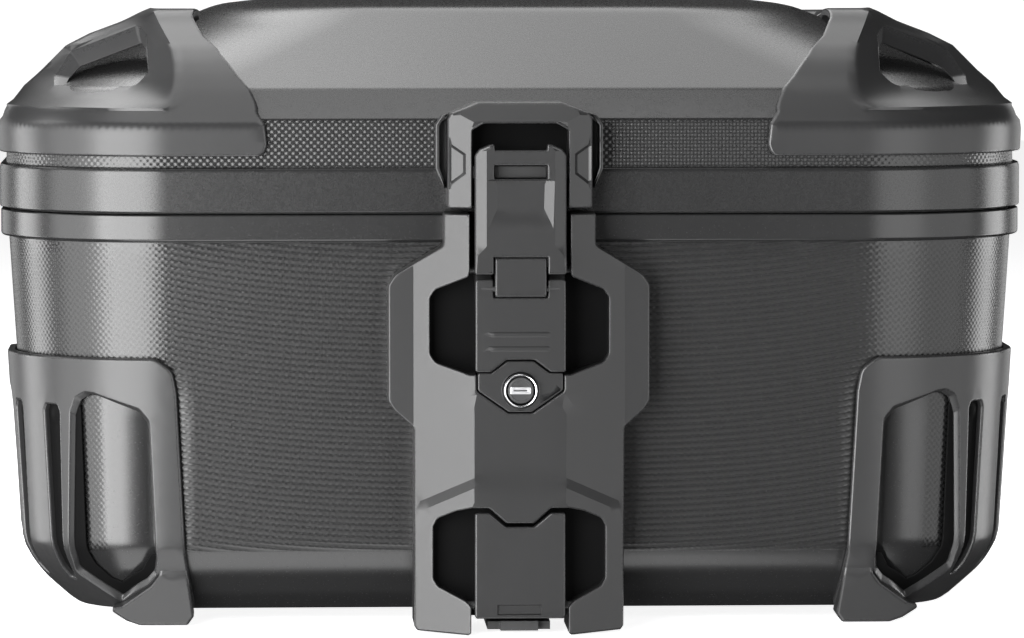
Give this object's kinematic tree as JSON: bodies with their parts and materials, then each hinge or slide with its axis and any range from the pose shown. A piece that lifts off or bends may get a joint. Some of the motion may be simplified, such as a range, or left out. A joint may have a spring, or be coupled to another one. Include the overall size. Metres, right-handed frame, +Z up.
{
  "type": "motorcycle top case",
  "caption": "Hard motorcycle top case with hinged lid, corner guards with lashing eyes, over-centre front latch with lock, and rack release lever.",
  "frame": {"origin": "centre of the footprint at the height the feet stand on", "axes": "+X to the right seen from the front, -Y out of the latch side, +Z up"},
  "size_m": [0.501, 0.4058, 0.3],
  "materials": {
    "textured_plastic": "matte, fine line texture on the walls",
    "satin_plastic": "satin",
    "rubber": "matte",
    "bright_steel": "satin",
    "dark_steel": "satin black",
    "lock_metal": "satin"
  },
  "bodies": {
    "tub": {"lower_shell": "textured_plastic", "lower_guard_front_left": "satin_plastic", "lower_guard_front_right": "satin_plastic", "lower_guard_rear_left": "satin_plastic", "lower_guard_rear_right": "satin_plastic", "latch_housing": "satin_plastic", "lever_pin": "bright_steel", "lock_plate": "satin_plastic", "lock_bezel": "bright_steel", "release_pin": "bright_steel", "hinge_tub_leaf_left": "dark_steel", "hinge_tub_leaf_right": "dark_steel", "hinge_pin_left": "bright_steel", "hinge_pin_right": "bright_steel", "base_plate": "dark_steel", "base_screw_1": "bright_steel", "base_screw_2": "bright_steel", "base_screw_3": "bright_steel", "base_screw_4": "bright_steel", "base_pad_1": "rubber", "base_pad_2": "rubber", "base_pad_3": "rubber", "base_pad_4": "rubber"},
    "lid": {"lid_shell": "textured_plastic", "lid_seal": "rubber", "upper_guard_front_left": "satin_plastic", "upper_guard_front_right": "satin_plastic", "upper_guard_rear_left": "satin_plastic", "upper_guard_rear_right": "satin_plastic", "catch_plate": "satin_plastic", "catch_cover": "satin_plastic", "catch_keeper": "bright_steel", "hinge_lid_leaf_left": "dark_steel", "hinge_lid_leaf_right": "dark_steel"},
    "lever": {"latch_lever": "satin_plastic", "hook_pin": "bright_steel"},
    "hook": {"latch_hook": "satin_plastic"},
    "lock": {"lock_plug": "lock_metal", "lock_cam": "bright_steel"},
    "release": {"release_lever": "satin_plastic"},
    "bolt": {"rack_bolt": "bright_steel"}
  },
  "joints": [
    {"name": "lid_hinge", "type": "hinge", "parent": "tub", "child": "lid", "pos_m": [0, 0.1967, 0.2], "axis": [-1, 0, 0], "range_deg": [0, 95]},
    {"name": "lever_hinge", "type": "hinge", "parent": "tub", "child": "lever", "pos_m": [0, -0.1829, 0.174], "axis": [-1, 0, 0], "range_deg": [0, 70]},
    {"name": "hook_hinge", "type": "hinge", "parent": "lever", "child": "hook", "pos_m": [0, -0.1979, 0.1655], "axis": [1, 0, 0], "range_deg": [0, 94.5]},
    {"name": "key_turn", "type": "hinge", "parent": "tub", "child": "lock", "pos_m": [0, -0.1919, 0.1173], "axis": [0, -1, 0], "range_deg": [0, 90]},
    {"name": "release_hinge", "type": "hinge", "parent": "tub", "child": "release", "pos_m": [0, -0.1879, 0.014], "axis": [1, 0, 0], "range_deg": [0, 40]},
    {"name": "bolt_slide", "type": "slide", "parent": "tub", "child": "bolt", "axis": [0, 1, 0], "range_m": [0, 0.0061]}
  ],
  "couplings": [
    {"joint": "hook_hinge", "follows": "lever_hinge", "ratio": 1.35},
    {"joint": "release_hinge", "follows": "bolt_slide", "rad_per_m": 113.6}
  ]
}
